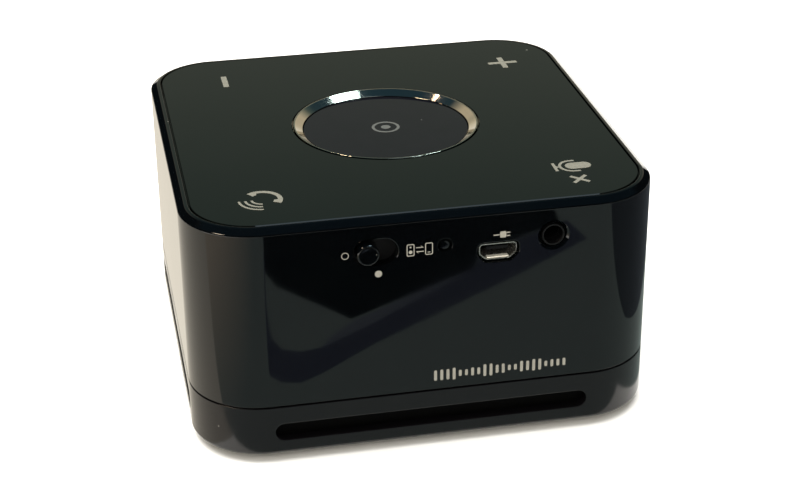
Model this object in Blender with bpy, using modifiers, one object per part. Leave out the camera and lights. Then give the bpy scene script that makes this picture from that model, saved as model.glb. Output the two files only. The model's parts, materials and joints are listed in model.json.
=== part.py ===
"""A square desktop conference speakerphone, modelled piece by piece.

The frame is in metres with +Z up and its origin on the desk, under the middle of the case.
The ports and switches are on the -Y face. Every loose piece is an object of its own.
"""

import math

import bmesh
import bpy
from mathutils import Matrix, Vector

MM = 0.001

# The case: a rounded square in plan, split near its foot into a housing and a base.
HALF = 46.0 * MM
CORNER = 14.4 * MM
FOOT_STAND = 1.0 * MM
SEAM_LOW = 12.2 * MM
SEAM_HIGH = 12.5 * MM
TOP = 49.8 * MM
WALL = 2.2 * MM
INNER = HALF - WALL
RIM_CHAMFER = 1.08 * MM
GAP = 0.3 * MM
CORNER_STEPS = 9

# The touch panel lies in a rebate, on a ledge that runs round the housing.
REBATE = 2.09 * MM
PANEL_THICK = 1.5 * MM
PANEL_LOW = TOP - PANEL_THICK
LEDGE_TOP = PANEL_LOW - GAP
LEDGE_THICK = 1.3 * MM
LEDGE_HALF = 40.8 * MM
TOUCH_BOARD_THICK = 0.8 * MM

# The round trim in the panel.
RING_R = 19.05 * MM
RING_RIM_R = 18.4 * MM
RING_THROAT_R = 17.2 * MM
RING_PROUD = 0.12 * MM
RING_FLANGE_R = 20.3 * MM
RING_LOW = 47.0 * MM
DISC_SUNK = 1.05 * MM

# The sound slots, one in each side of the base.
SLOT_LENGTH = 61.8 * MM
SLOT_HEIGHT = 3.5 * MM
SLOT_Z = 6.65 * MM
FLOOR_THICK = 2.0 * MM

# The main board and the ports that stand on it.
BOARD_TOP = 39.0 * MM
BOARD_THICK = 1.6 * MM
ON_BOARD = BOARD_TOP + GAP
BOARD_REAR = 34.0 * MM
BOARD_SCREW_X = 41.5 * MM
BOARD_SCREW_Y = 27.0 * MM
USB_X = 12.5 * MM
USB_HEIGHT = 3.2 * MM
JACK_X = 23.2 * MM
JACK_Z = 43.25 * MM
JACK_BORE_R = 1.85 * MM
JACK_HOLE_R = 2.5 * MM

# The power slider: a round knob in a slot with round ends, shown in its off place.
KNOB_X = -12.5 * MM
KNOB_Z = 43.2 * MM
KNOB_R = 2.12 * MM
KNOB_PROUD = 1.15 * MM
KNOB_TRAVEL = 3.0 * MM
SLOT_END_R = 2.7 * MM

# The pairing button.
PAIR_X = 2.22 * MM
PAIR_Z = 43.35 * MM
PAIR_R = 1.0 * MM
PAIR_HOLE_R = 1.4 * MM

# The case screws, up through the base's corner posts.
POST_AT = 37.8 * MM
POST_R = 3.75 * MM
CASE_HOLE_R = 1.7 * MM
FOOT_AT = 31.0 * MM
FOOT_R = 4.5 * MM

# The loudspeaker, facing down over the middle of the base.
BAFFLE_THICK = 2.0 * MM
BAFFLE_TOP = SEAM_HIGH + BAFFLE_THICK
DRIVER_SCREW_R = 25.5 * MM
COIL_IN_R = 6.2 * MM
COIL_OUT_R = 6.8 * MM
MIC_Z = 41.5 * MM

CORNERS = [(1, 1), (-1, 1), (-1, -1), (1, -1)]
FACING_PORTS = Matrix.Rotation(math.radians(90), 4, "X")
ALONG_X = Matrix(((0, 0, 1, 0), (1, 0, 0, 0), (0, 1, 0, 0), (0, 0, 0, 1)))


# ---------------------------------------------------------------- scene and materials


def new_collection(name):
    made = bpy.data.collections.new(name)
    bpy.context.scene.collection.children.link(made)
    return made


def clear_scene():
    for obj in list(bpy.data.objects):
        bpy.data.objects.remove(obj, do_unlink=True)


clear_scene()
PARTS = new_collection("conference_speakerphone")
CUTTERS = new_collection("cutters")


def principled(name, colour, roughness, metallic=0.0):
    """A plain material. colour is linear red, green and blue."""
    made = bpy.data.materials.new(name)
    made.use_nodes = True
    shader = made.node_tree.nodes["Principled BSDF"]
    shader.inputs["Base Color"].default_value = (*colour, 1.0)
    shader.inputs["Roughness"].default_value = roughness
    shader.inputs["Metallic"].default_value = metallic
    made.diffuse_color = (*colour, 1.0)
    return made


# ---------------------------------------------------------------- outlines


def arc(centre, radius, start, end, steps):
    """Points along an arc, from start to end in degrees."""
    points = []
    for step in range(steps + 1):
        angle = math.radians(start + (end - start) * step / steps)
        points.append((centre[0] + radius * math.cos(angle), centre[1] + radius * math.sin(angle)))
    return points


def circle(x, y, radius, steps=18):
    return arc((x, y), radius, 0, 360, steps)[:-1]


def rounded_rectangle(low, high, radii, steps=CORNER_STEPS):
    """An outline with its corner radii in the order +X+Y, -X+Y, -X-Y, +X-Y."""
    points = []
    for (side_x, side_y), radius, start in zip(CORNERS, radii, (0, 90, 180, 270)):
        x = high[0] - radius if side_x > 0 else low[0] + radius
        y = high[1] - radius if side_y > 0 else low[1] + radius
        points += arc((x, y), radius, start, start + 90, steps)
    return points


def rounded_square(half, radius, steps=CORNER_STEPS):
    return rounded_rectangle((-half, -half), (half, half), [radius] * 4, steps)


def stadium(x, y, length, height, steps=8):
    """A slot outline with half-round ends."""
    reach = (length - height) / 2
    right = arc((x + reach, y), height / 2, -90, 90, steps)
    left = arc((x - reach, y), height / 2, 90, 270, steps)
    return right + left


def usb_outline(grow):
    """A micro-B opening: wide above, narrow below, with its lower corners sloped."""
    half_top = 3.6 * MM + grow
    half_low = 2.25 * MM + grow * 0.6
    top = ON_BOARD + USB_HEIGHT + grow
    low = ON_BOARD - grow
    shoulder = ON_BOARD + 1.25 * MM
    right = [(half_low, low), (half_top, shoulder), (half_top, top)]
    left = [(-x, z) for x, z in reversed(right)]
    return [(USB_X + x, z) for x, z in right + left]


# ---------------------------------------------------------------- solids


def place(obj, name, finish, smooth=True, collection=None):
    """Names an object, gives it its finish and puts it in a collection."""
    for held_by in list(obj.users_collection):
        held_by.objects.unlink(obj)
    (collection or PARTS).objects.link(obj)
    obj.name = name
    if finish is not None:
        obj.data.materials.clear()
        obj.data.materials.append(finish)
    if smooth:
        obj.data.shade_smooth()
        obj.data.set_sharp_from_angle(angle=math.radians(32))
    return obj


def prism(outlines, low, high, turn=None):
    """Outlines extruded from low to high along Z. Every outline after the first is a hole.

    With turn, the finished solid is turned by that matrix.
    """
    curve = bpy.data.curves.new("outline", "CURVE")
    curve.dimensions = "2D"
    curve.fill_mode = "BOTH"
    curve.extrude = (high - low) / 2
    for points in outlines:
        spline = curve.splines.new("POLY")
        spline.points.add(len(points) - 1)
        for point, (x, y) in zip(spline.points, points):
            point.co = (x, y, 0, 1)
        spline.use_cyclic_u = True
    drawn = bpy.data.objects.new("outline", curve)
    bpy.context.scene.collection.objects.link(drawn)
    drawn.location.z = (low + high) / 2
    bpy.context.view_layer.update()
    evaluated = drawn.evaluated_get(bpy.context.evaluated_depsgraph_get())
    mesh = bpy.data.meshes.new_from_object(evaluated)
    mesh.transform(drawn.matrix_world)
    if turn is not None:
        mesh.transform(turn)
    bpy.data.objects.remove(drawn, do_unlink=True)
    welded = bmesh.new()
    welded.from_mesh(mesh)
    bmesh.ops.remove_doubles(welded, verts=welded.verts, dist=0.001 * MM)
    bmesh.ops.dissolve_limit(
        welded, angle_limit=math.radians(0.2), verts=welded.verts, edges=welded.edges
    )
    bmesh.ops.recalc_face_normals(welded, faces=welded.faces)
    welded.to_mesh(mesh)
    welded.free()
    solid = bpy.data.objects.new("prism", mesh)
    bpy.context.scene.collection.objects.link(solid)
    return solid


def through_wall(outlines, front, back):
    """Outlines in X and Z, extruded along Y from front to back."""
    return prism(outlines, -back, -front, FACING_PORTS)


def block(low, high):
    """A box from its low corner to its high corner, with its own origin in its middle."""
    shape = bmesh.new()
    bmesh.ops.create_cube(shape, size=1.0)
    size = [b - a for a, b in zip(low, high)]
    bmesh.ops.scale(shape, vec=size, verts=shape.verts)
    mesh = bpy.data.meshes.new("block")
    shape.to_mesh(mesh)
    shape.free()
    solid = bpy.data.objects.new("block", mesh)
    bpy.context.scene.collection.objects.link(solid)
    solid.location = [(a + b) / 2 for a, b in zip(low, high)]
    return solid


def rod(x, y, radius, low, high, steps=18):
    """An upright cylinder, with its own origin on its axis at height 0."""
    shape = bmesh.new()
    bmesh.ops.create_cone(
        shape, cap_ends=True, segments=steps, radius1=radius, radius2=radius, depth=high - low
    )
    bmesh.ops.translate(shape, vec=(0, 0, (low + high) / 2), verts=shape.verts)
    mesh = bpy.data.meshes.new("rod")
    shape.to_mesh(mesh)
    shape.free()
    solid = bpy.data.objects.new("rod", mesh)
    bpy.context.scene.collection.objects.link(solid)
    solid.location = (x, y, 0)
    return solid


def turned(profile, closed, steps=24):
    """A profile of (radius, height) points turned about Z. It runs down its outer side."""
    mesh = bpy.data.meshes.new("turned")
    edges = [(i, i + 1) for i in range(len(profile) - 1)]
    if closed:
        edges.append((len(profile) - 1, 0))
    mesh.from_pydata([(r, 0, z) for r, z in profile], edges, [])
    solid = bpy.data.objects.new("turned", mesh)
    bpy.context.scene.collection.objects.link(solid)
    screw = solid.modifiers.new("turn", "SCREW")
    screw.steps = steps
    screw.render_steps = steps
    screw.use_merge_vertices = True
    screw.merge_threshold = 0.001 * MM
    return solid


def washer(inner, outer, low, high, steps=24):
    return turned([(outer, high), (outer, low), (inner, low), (inner, high)], True, steps)


def facing(solid, x, y, z):
    """Turns a solid made about +Z so that its +Z points out of the port face, then moves it."""
    solid.rotation_euler = (math.radians(90), 0, 0)
    solid.location = (x, y, z)
    return solid


def wire(ends, radius, bend_steps=10):
    """A round lead along one cubic curve through its end points and two guide points."""
    curve = bpy.data.curves.new("wire", "CURVE")
    curve.dimensions = "3D"
    curve.bevel_depth = radius
    curve.bevel_resolution = 2
    curve.use_fill_caps = True
    spline = curve.splines.new("POLY")
    spline.points.add(bend_steps)
    start, leave, arrive, end = (Vector(point) for point in ends)
    for step, point in enumerate(spline.points):
        t = step / bend_steps
        s = 1 - t
        at = start * s**3 + leave * (3 * s * s * t) + arrive * (3 * s * t * t) + end * t**3
        point.co = (*at, 1)
    solid = bpy.data.objects.new("wire", curve)
    bpy.context.scene.collection.objects.link(solid)
    return solid


def boolean(obj, tool, operation):
    """Cuts or joins with a helper that stays in the cutters' collection."""
    place(tool, f"{operation.lower()}_for_{obj.name}", None, smooth=False, collection=CUTTERS)
    tool.hide_render = True
    tool.display_type = "WIRE"
    step = obj.modifiers.new(operation.lower(), "BOOLEAN")
    step.operation = operation
    step.object = tool


def cut(obj, *tools):
    for tool in tools:
        boolean(obj, tool, "DIFFERENCE")


def join(obj, *tools):
    for tool in tools:
        boolean(obj, tool, "UNION")


def bevel_level(obj, height, width, segments=1):
    """Bevels the outline edges that lie at one height of an upright prism."""
    mesh = obj.data
    weights = mesh.attributes.new("bevel_weight_edge", "FLOAT", "EDGE")
    for edge in mesh.edges:
        ends = [mesh.vertices[index].co.z for index in edge.vertices]
        if all(abs(z - height) < 0.01 * MM for z in ends):
            weights.data[edge.index].value = 1.0
    step = obj.modifiers.new("edge", "BEVEL")
    step.limit_method = "WEIGHT"
    step.width = width
    step.segments = segments


def bevel_all(obj, width, segments=2):
    step = obj.modifiers.new("edges", "BEVEL")
    step.limit_method = "ANGLE"
    step.angle_limit = math.radians(40)
    step.width = width
    step.segments = segments


# ---------------------------------------------------------------- the housing


def upper_housing(gloss):
    """The tall cover: four walls, the chamfered rim, the panel's ledge and the screw bosses."""
    housing = prism([rounded_square(HALF, CORNER)], SEAM_HIGH, TOP)
    bevel_level(housing, TOP, RIM_CHAMFER)
    place(housing, "upper_housing", gloss)
    inner_corner = CORNER - WALL
    ledge_low = LEDGE_TOP - LEDGE_THICK
    rebate_half = HALF - REBATE
    ledge_corner = CORNER - (HALF - LEDGE_HALF)
    cut(
        housing,
        prism([rounded_square(INNER, inner_corner)], SEAM_HIGH - 1 * MM, ledge_low),
        prism([rounded_square(LEDGE_HALF, ledge_corner)], ledge_low - 1 * MM, TOP),
        prism([rounded_square(rebate_half, CORNER - REBATE)], LEDGE_TOP, TOP + 1 * MM),
    )
    boss_low = BAFFLE_TOP + GAP
    for side_x, side_y in CORNERS:
        centre = (side_x * POST_AT, side_y * POST_AT)
        tube = [circle(*centre, POST_R), circle(*centre, CASE_HOLE_R, 10)]
        join(housing, prism(tube, boss_low, boss_low + 15 * MM))
    board_boss_top = BOARD_TOP - BOARD_THICK - GAP
    for side_x, side_y in CORNERS:
        centre = (side_x * BOARD_SCREW_X, side_y * BOARD_SCREW_Y)
        tube = [circle(*centre, 3.0 * MM, 14), circle(*centre, 1.1 * MM, 8)]
        join(housing, prism(tube, board_boss_top - 12 * MM, board_boss_top))
    port_openings(housing)


def port_openings(housing):
    """The openings in the port face, and the microphone's pinhole in the rear one."""
    front = -HALF - 1 * MM
    back = -INNER + 0.5 * MM
    slot_length = KNOB_TRAVEL + 2 * SLOT_END_R + 0.1 * MM
    slot = stadium(KNOB_X + KNOB_TRAVEL / 2 + 0.05 * MM, KNOB_Z, slot_length, 2 * SLOT_END_R)
    countersink = turned(
        [(0, 2 * MM), (4.7 * MM, 2 * MM), (JACK_HOLE_R, -0.7 * MM), (JACK_HOLE_R, -4 * MM), (0, -4 * MM)],
        False,
        24,
    )
    pinhole = facing(rod(0, 0, 0.6 * MM, 0, 4 * MM, 12), 0, HALF + 1 * MM, MIC_Z)
    cut(
        housing,
        through_wall([slot], front, back),
        through_wall([circle(PAIR_X, PAIR_Z, PAIR_HOLE_R)], front, back),
        through_wall([usb_outline(0.45 * MM)], front, back),
        facing(countersink, JACK_X, -HALF, JACK_Z),
        pinhole,
    )


def top_panel(gloss):
    hole = circle(0, 0, RING_R + GAP, 48)
    outline = rounded_square(HALF - REBATE - GAP, CORNER - REBATE - GAP)
    place(prism([outline, hole], PANEL_LOW, TOP), "top_panel", gloss)


def ring_and_disc(chrome, disc_gloss):
    """The sloped bright ring, held under the panel by its flange, and the sunken disc."""
    flange_top = PANEL_LOW - GAP
    profile = [
        (RING_R, TOP + RING_PROUD),
        (RING_R, flange_top),
        (RING_FLANGE_R, flange_top),
        (RING_FLANGE_R, RING_LOW),
        (RING_THROAT_R, RING_LOW),
        (RING_THROAT_R, TOP - DISC_SUNK + RING_PROUD),
        (RING_RIM_R, TOP + RING_PROUD),
    ]
    place(turned(profile, True, 56), "chrome_ring", chrome)
    disc = rod(0, 0, RING_THROAT_R - GAP, RING_LOW, TOP - DISC_SUNK, 56)
    place(disc, "centre_disc", disc_gloss)


# ---------------------------------------------------------------- the base


def base_shell(satin):
    """The tray under the housing: its floor, its slotted walls and its four corner posts."""
    base = prism([rounded_square(HALF, CORNER)], FOOT_STAND, SEAM_LOW)
    bevel_level(base, FOOT_STAND, 0.6 * MM, 2)
    place(base, "base_shell", satin)
    floor_top = FOOT_STAND + FLOOR_THICK
    cut(base, prism([rounded_square(INNER, CORNER - WALL)], floor_top, SEAM_LOW + 1 * MM))
    for side_x, side_y in CORNERS:
        at = (side_x * POST_AT, side_y * POST_AT)
        join(base, rod(*at, POST_R, floor_top - 1 * MM, SEAM_LOW))
        cut(base, rod(*at, CASE_HOLE_R, 0, SEAM_LOW + 1 * MM, 12), rod(*at, 3.1 * MM, 0, 5 * MM))
        foot_at = (side_x * FOOT_AT, side_y * FOOT_AT)
        cut(base, rod(*foot_at, FOOT_R + GAP, 0, FOOT_STAND + 1 * MM))
    slot = [stadium(0, SLOT_Z, SLOT_LENGTH, SLOT_HEIGHT, 8)]
    reach = HALF + 1 * MM
    cut(base, through_wall(slot, -reach, reach), prism(slot, -reach, reach, ALONG_X))


def feet(rubber):
    for number, (side_x, side_y) in enumerate(CORNERS, 1):
        soft_edge = 0.3 * MM
        top = FOOT_STAND + 0.7 * MM
        profile = [(0, top), (FOOT_R, top), (FOOT_R, soft_edge), (FOOT_R - soft_edge, 0), (0, 0)]
        foot = turned(profile, False, 18)
        foot.location = (side_x * FOOT_AT, side_y * FOOT_AT, 0)
        place(foot, f"rubber_foot_{number}", rubber)


def screw(name, x, y, head_face, head_r, head_thick, shaft_r, length, steel, pointing_up):
    """A pan-head screw. head_face is the height of the head's bearing face."""
    way = 1 if pointing_up else -1
    profile = [
        (0, head_face + way * length),
        (shaft_r, head_face + way * length),
        (shaft_r, head_face),
        (head_r, head_face),
        (head_r, head_face - way * head_thick),
        (0, head_face - way * head_thick),
    ]
    if not pointing_up:
        profile.reverse()
    made = turned(profile, False, 12)
    made.location = (x, y, 0)
    place(made, name, steel)
    face = head_face - way * head_thick
    for wide, deep in ((head_r * 1.2, head_r * 0.3), (head_r * 0.3, head_r * 1.2)):
        half_depth = head_thick * 0.45
        low = (x - wide / 2, y - deep / 2, face - half_depth)
        cut(made, block(low, (x + wide / 2, y + deep / 2, face + half_depth)))


def screws(steel):
    for number, (side_x, side_y) in enumerate(CORNERS, 1):
        at = (side_x * POST_AT, side_y * POST_AT)
        screw(f"case_screw_{number}", *at, 4.7 * MM, 2.8 * MM, 2 * MM, 1.4 * MM, 20 * MM, steel, True)
        at = (side_x * BOARD_SCREW_X, side_y * BOARD_SCREW_Y)
        screw(f"board_screw_{number}", *at, ON_BOARD, 1.9 * MM, 1.2 * MM, 0.8 * MM, 9 * MM, steel, False)
        driver_at = DRIVER_SCREW_R * math.sqrt(0.5)
        at = (side_x * driver_at, side_y * driver_at)
        screw(f"speaker_screw_{number}", *at, 17.2 * MM, 1.9 * MM, 1.4 * MM, 1 * MM, 4.3 * MM, steel, False)


def slot_screens(cloth):
    """Acoustic cloth on a stiff strip behind each slot."""
    long_half = 33 * MM
    outer = INNER - GAP
    inner = outer - 0.5 * MM
    low = FOOT_STAND + FLOOR_THICK + GAP
    high = SEAM_LOW - GAP
    spans = {
        "front": ((-long_half, -outer, low), (long_half, -inner, high)),
        "rear": ((-long_half, inner, low), (long_half, outer, high)),
        "left": ((-outer, -long_half, low), (-inner, long_half, high)),
        "right": ((inner, -long_half, low), (outer, long_half, high)),
    }
    for side, (corner_low, corner_high) in spans.items():
        place(block(corner_low, corner_high), f"slot_screen_{side}", cloth, smooth=False)


def sound_deflector(satin):
    """The cone on the base's floor that turns the sound out to the slots."""
    low = FOOT_STAND + FLOOR_THICK + GAP
    reach = 16 * MM
    rise = 6.2 * MM
    steps = 5
    profile = []
    for step in range(steps + 1):
        share = step / steps
        profile.append((reach * share, low + 0.8 * MM + rise * (1 - share) ** 2))
    profile += [(reach, low), (0, low)]
    place(turned(profile, False), "sound_deflector", satin)


# ---------------------------------------------------------------- the loudspeaker


def baffle_and_gasket(plastic, foam):
    driver_at = DRIVER_SCREW_R * math.sqrt(0.5)
    holes = [circle(0, 0, 22.5 * MM, 36)]
    for side_x, side_y in CORNERS:
        holes.append(circle(side_x * POST_AT, side_y * POST_AT, CASE_HOLE_R, 12))
        holes.append(circle(side_x * driver_at, side_y * driver_at, 1.3 * MM, 10))
    outline = rounded_square(INNER - GAP, CORNER - WALL - GAP)
    place(prism([outline, *holes], SEAM_HIGH, BAFFLE_TOP), "speaker_baffle", plastic)
    gasket = washer(22.6 * MM, 24.0 * MM, BAFFLE_TOP + GAP, BAFFLE_TOP + 1.1 * MM)
    place(gasket, "speaker_gasket", foam)


def speaker_basket(steel):
    """The pressed steel frame, with four windows between its legs."""
    profile = [
        (9.0 * MM, 26.9 * MM),
        (16.4 * MM, 26.9 * MM),
        (23.6 * MM, 16.9 * MM),
        (27.4 * MM, 16.9 * MM),
        (27.4 * MM, 15.9 * MM),
        (22.6 * MM, 15.9 * MM),
        (22.6 * MM, 16.6 * MM),
        (15.9 * MM, 26.0 * MM),
        (9.0 * MM, 26.0 * MM),
    ]
    basket = place(turned(profile, True), "speaker_basket", steel)
    reach = 30 * MM
    half = 6 * MM
    low = 18.5 * MM
    high = 24.2 * MM
    cut(basket, block((-reach, -half, low), (reach, half, high)))
    cut(basket, block((-half, -reach, low), (half, reach, high)))
    driver_at = DRIVER_SCREW_R * math.sqrt(0.5)
    for side_x, side_y in CORNERS:
        cut(basket, rod(side_x * driver_at, side_y * driver_at, 1.3 * MM, 15 * MM, 18 * MM, 10))


def cone_parts(paper, rubber, cloth, copper):
    """The pieces that breathe with the sound, and the two soft rings that hold them."""
    cone = [
        (7.1 * MM, 23.0 * MM),
        (17.6 * MM, 16.8 * MM),
        (18.5 * MM, 16.8 * MM),
        (18.5 * MM, 16.2 * MM),
        (17.4 * MM, 16.2 * MM),
        (7.1 * MM, 22.3 * MM),
    ]
    place(turned(cone, True), "speaker_cone", paper)
    place(washer(COIL_IN_R, COIL_OUT_R, 22.8 * MM, 31.0 * MM), "voice_coil", copper)
    dome_r = 12.0 * MM
    dome_z = 31.9 * MM
    skin = 0.4 * MM
    edge = math.degrees(math.asin(COIL_OUT_R / dome_r))
    upper = arc((0, dome_z), dome_r - skin, -90, -90 + edge, 3)
    lower = arc((0, dome_z), dome_r, -90 + edge, -90, 3)
    place(turned(upper + lower, False, 24), "dust_cap", paper)
    roll_outer = arc((20.55 * MM, 16.2 * MM), 1.75 * MM, 0, -180, 5)
    roll_inner = arc((20.55 * MM, 16.2 * MM), 1.35 * MM, -180, 0, 5)
    place(turned(roll_outer + roll_inner, True), "speaker_surround", rubber)
    place(turned(spider_profile(), True), "speaker_spider", cloth)


def spider_profile():
    """A corrugated ring from the coil out to the basket."""
    inner = 7.1 * MM
    outer = 16.3 * MM
    waves = 2
    steps = 8
    top = []
    for step in range(steps + 1):
        share = step / steps
        height = 24.75 * MM + 0.25 * MM * math.sin(2 * math.pi * waves * share)
        top.append((inner + (outer - inner) * share, height))
    under = [(r, z - 0.3 * MM) for r, z in reversed(top)]
    return top + under


def motor_parts(steel, ferrite):
    place(washer(7.2 * MM, 13.5 * MM, 27.2 * MM, 29.2 * MM), "speaker_front_plate", steel)
    place(washer(8.5 * MM, 15.5 * MM, 29.5 * MM, 33.5 * MM), "speaker_magnet", ferrite)
    yoke = [
        (0, 36.0 * MM),
        (14.0 * MM, 36.0 * MM),
        (14.0 * MM, 33.8 * MM),
        (5.8 * MM, 33.8 * MM),
        (5.8 * MM, 27.4 * MM),
        (0, 27.4 * MM),
    ]
    place(turned(yoke, False), "speaker_yoke", steel)


# ---------------------------------------------------------------- the boards and the battery


def boards(laminate, copper):
    hole = circle(0, 0, RING_FLANGE_R + GAP, 40)
    outline = rounded_square(LEDGE_HALF - GAP, CORNER - (HALF - LEDGE_HALF) - GAP)
    touch = prism([outline, hole], LEDGE_TOP - TOUCH_BOARD_THICK, LEDGE_TOP)
    place(touch, "touch_board", laminate)
    half = INNER - GAP
    front_corner = CORNER - WALL - GAP
    corners = [3 * MM, 3 * MM, front_corner, front_corner]
    outline = rounded_rectangle((-half, -half), (half, BOARD_REAR), corners, 8)
    holes = []
    for side_x, side_y in CORNERS:
        holes.append(circle(side_x * BOARD_SCREW_X, side_y * BOARD_SCREW_Y, 1.1 * MM, 10))
    board = prism([outline, *holes], BOARD_TOP - BOARD_THICK, BOARD_TOP)
    place(board, "main_board", laminate)
    antenna_top = RING_LOW - GAP
    antenna_low = antenna_top - 1.2 * MM
    place(rod(0, 0, 19 * MM, antenna_low, antenna_top, 32), "contactless_board", laminate)
    coil_top = antenna_low - GAP
    place(washer(11 * MM, 17 * MM, coil_top - 0.3 * MM, coil_top), "contactless_coil", copper)


def board_pieces(steel, black, ribbon_plastic):
    can = block((-14 * MM, -8 * MM, ON_BOARD), (10 * MM, 14 * MM, 41.9 * MM))
    place(can, "shield_can", steel)
    skin = 0.3 * MM
    hollow = block((-14 * MM + skin, -8 * MM + skin, 38 * MM), (10 * MM - skin, 14 * MM - skin, 41.6 * MM))
    cut(can, hollow)
    chip = block((-6 * MM, -1 * MM, ON_BOARD), (1 * MM, 6 * MM, 40.4 * MM))
    place(chip, "radio_chip", black, smooth=False)
    bend_top = LEDGE_TOP - TOUCH_BOARD_THICK - GAP
    bend_z = (bend_top + ON_BOARD) / 2
    bend_r = bend_top - bend_z
    straight = 6 * MM
    outer = arc((0, bend_z), bend_r, -90, 90, 12)
    inner = arc((0, bend_z), bend_r - 0.3 * MM, 90, -90, 12)
    outline = [(-straight, ON_BOARD), *outer, (-straight, bend_top)]
    outline += [(-straight, bend_top - 0.3 * MM), *inner, (-straight, ON_BOARD + 0.3 * MM)]
    ribbon = prism([outline], 14 * MM, 22 * MM, ALONG_X)
    ribbon.location.y = 28 * MM
    place(ribbon, "touch_ribbon", ribbon_plastic)


def battery(foil, foam, lead_plastic):
    low = BAFFLE_TOP + GAP
    pad_top = low + 1 * MM
    pad = block((-40.5 * MM, -22 * MM, low), (-31.5 * MM, 22 * MM, pad_top))
    place(pad, "battery_pad", foam, smooth=False)
    cell_low = pad_top + GAP
    cell = block((-41 * MM, -23.5 * MM, cell_low), (-31 * MM, 23.5 * MM, cell_low + 20 * MM))
    place(cell, "battery_cell", foil)
    bevel_all(cell, 1 * MM, 3)
    under_board = BOARD_TOP - BOARD_THICK - 2 * GAP
    ends = [(-36, 24.4, 29), (-36, 31, 29), (-32, 31, 31), (-31, 30, under_board / MM)]
    battery_lead = wire([[c * MM for c in point] for point in ends], 0.7 * MM)
    place(battery_lead, "battery_lead", lead_plastic, smooth=False)
    ends = [(22.8, 7, 20), (27, 8, 20), (27, 13, 28), (25, 14, under_board / MM)]
    speaker_lead = wire([[c * MM for c in point] for point in ends], 0.7 * MM)
    place(speaker_lead, "speaker_lead", lead_plastic, smooth=False)


def microphone(metal, rubber):
    """A capsule in its rubber boot, behind the pinhole in the rear wall."""
    boot_face = INNER - GAP
    boot = turned(
        [(4.2 * MM, 0), (4.2 * MM, -4.5 * MM), (3.3 * MM, -4.5 * MM), (3.3 * MM, -0.8 * MM)]
        + [(0.7 * MM, -0.8 * MM), (0.7 * MM, 0)],
        True,
        20,
    )
    boot.rotation_euler = (math.radians(-90), 0, 0)
    boot.location = (0, boot_face, MIC_Z)
    place(boot, "microphone_boot", rubber)
    capsule = rod(0, 0, 3 * MM, -1.5 * MM, 1.5 * MM, 20)
    capsule.rotation_euler = (math.radians(-90), 0, 0)
    capsule.location = (0, boot_face - 2.6 * MM, MIC_Z)
    place(capsule, "microphone_capsule", metal)


# ---------------------------------------------------------------- the ports and the switches


def usb_port(steel, black):
    """The folded shell of the charging socket, and the tongue inside it."""
    mouth = -HALF + 0.4 * MM
    rear = mouth + 5.4 * MM
    skin = 0.3 * MM
    shell = through_wall([usb_outline(0), usb_outline(-skin)], mouth, rear)
    place(shell, "micro_usb_shell", steel)
    tongue = through_wall([usb_outline(-skin - 0.1 * MM)], rear - 1 * MM, rear - 0.2 * MM)
    place(tongue, "micro_usb_tongue", black)
    high = ON_BOARD + USB_HEIGHT - skin - 0.65 * MM
    blade_low = (USB_X - 2.1 * MM, mouth + 0.9 * MM, high - 0.65 * MM)
    join(tongue, block(blade_low, (USB_X + 2.1 * MM, rear - 0.6 * MM, high)))


def audio_jack(black):
    body_front = -INNER + 0.5 * MM
    half = 3.1 * MM
    body_low = (JACK_X - half, body_front, ON_BOARD)
    body = block(body_low, (JACK_X + half, body_front + 12.3 * MM, JACK_Z + half))
    place(body, "audio_jack_body", black)
    bore = facing(rod(0, 0, JACK_BORE_R, -11 * MM, 1 * MM, 24), JACK_X, body_front, JACK_Z)
    cut(body, bore)
    collar = washer(JACK_BORE_R, 2.2 * MM, 0, 2.2 * MM, 24)
    place(facing(collar, JACK_X, body_front - GAP, JACK_Z), "audio_jack_collar", black)


def power_switch(gloss, black):
    """The slider with its knob and fork, and the switch whose lever the fork carries."""
    knob_length = KNOB_PROUD + WALL + 0.8 * MM
    knob = facing(rod(0, 0, KNOB_R, -knob_length, 0, 28), KNOB_X, -HALF - KNOB_PROUD, KNOB_Z)
    bevel_all(knob, 0.25 * MM)
    place(knob, "power_slider", gloss)
    flange_front = -INNER + GAP
    flange_back = flange_front + 0.8 * MM
    flange_low = (KNOB_X - 6.1 * MM, flange_front, KNOB_Z - 3.3 * MM)
    join(knob, block(flange_low, (KNOB_X + 6.2 * MM, flange_back, KNOB_Z + 3.2 * MM)))
    prong_z = (KNOB_Z - 2 * MM, KNOB_Z)
    for side in (-1, 1):
        x = KNOB_X + side * 1.5 * MM
        prong_low = (x - 0.4 * MM, flange_back - 0.2 * MM, prong_z[0])
        join(knob, block(prong_low, (x + 0.4 * MM, flange_back + MM, prong_z[1])))
    lever_half = 0.8 * MM
    lever_low = (KNOB_X - lever_half, flange_back + GAP, prong_z[0] + 0.1 * MM)
    lever = block(lever_low, (KNOB_X + lever_half, flange_back + 2.8 * MM, prong_z[1] - 0.1 * MM))
    place(lever, "slide_switch_lever", black, smooth=False)
    body_front = flange_back + 1.3 * MM
    body_low = (KNOB_X - 4 * MM, body_front, ON_BOARD)
    body = block(body_low, (KNOB_X + 7 * MM, body_front + 4.2 * MM, KNOB_Z + 1.9 * MM))
    place(body, "slide_switch_body", black, smooth=False)
    pocket_low = (KNOB_X - 1.2 * MM, body_front - 1 * MM, prong_z[0] - 0.2 * MM)
    pocket_high = (KNOB_X + KNOB_TRAVEL + 1.2 * MM, body_front + 1.9 * MM, prong_z[1] + 0.2 * MM)
    cut(body, block(pocket_low, pocket_high))


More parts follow.
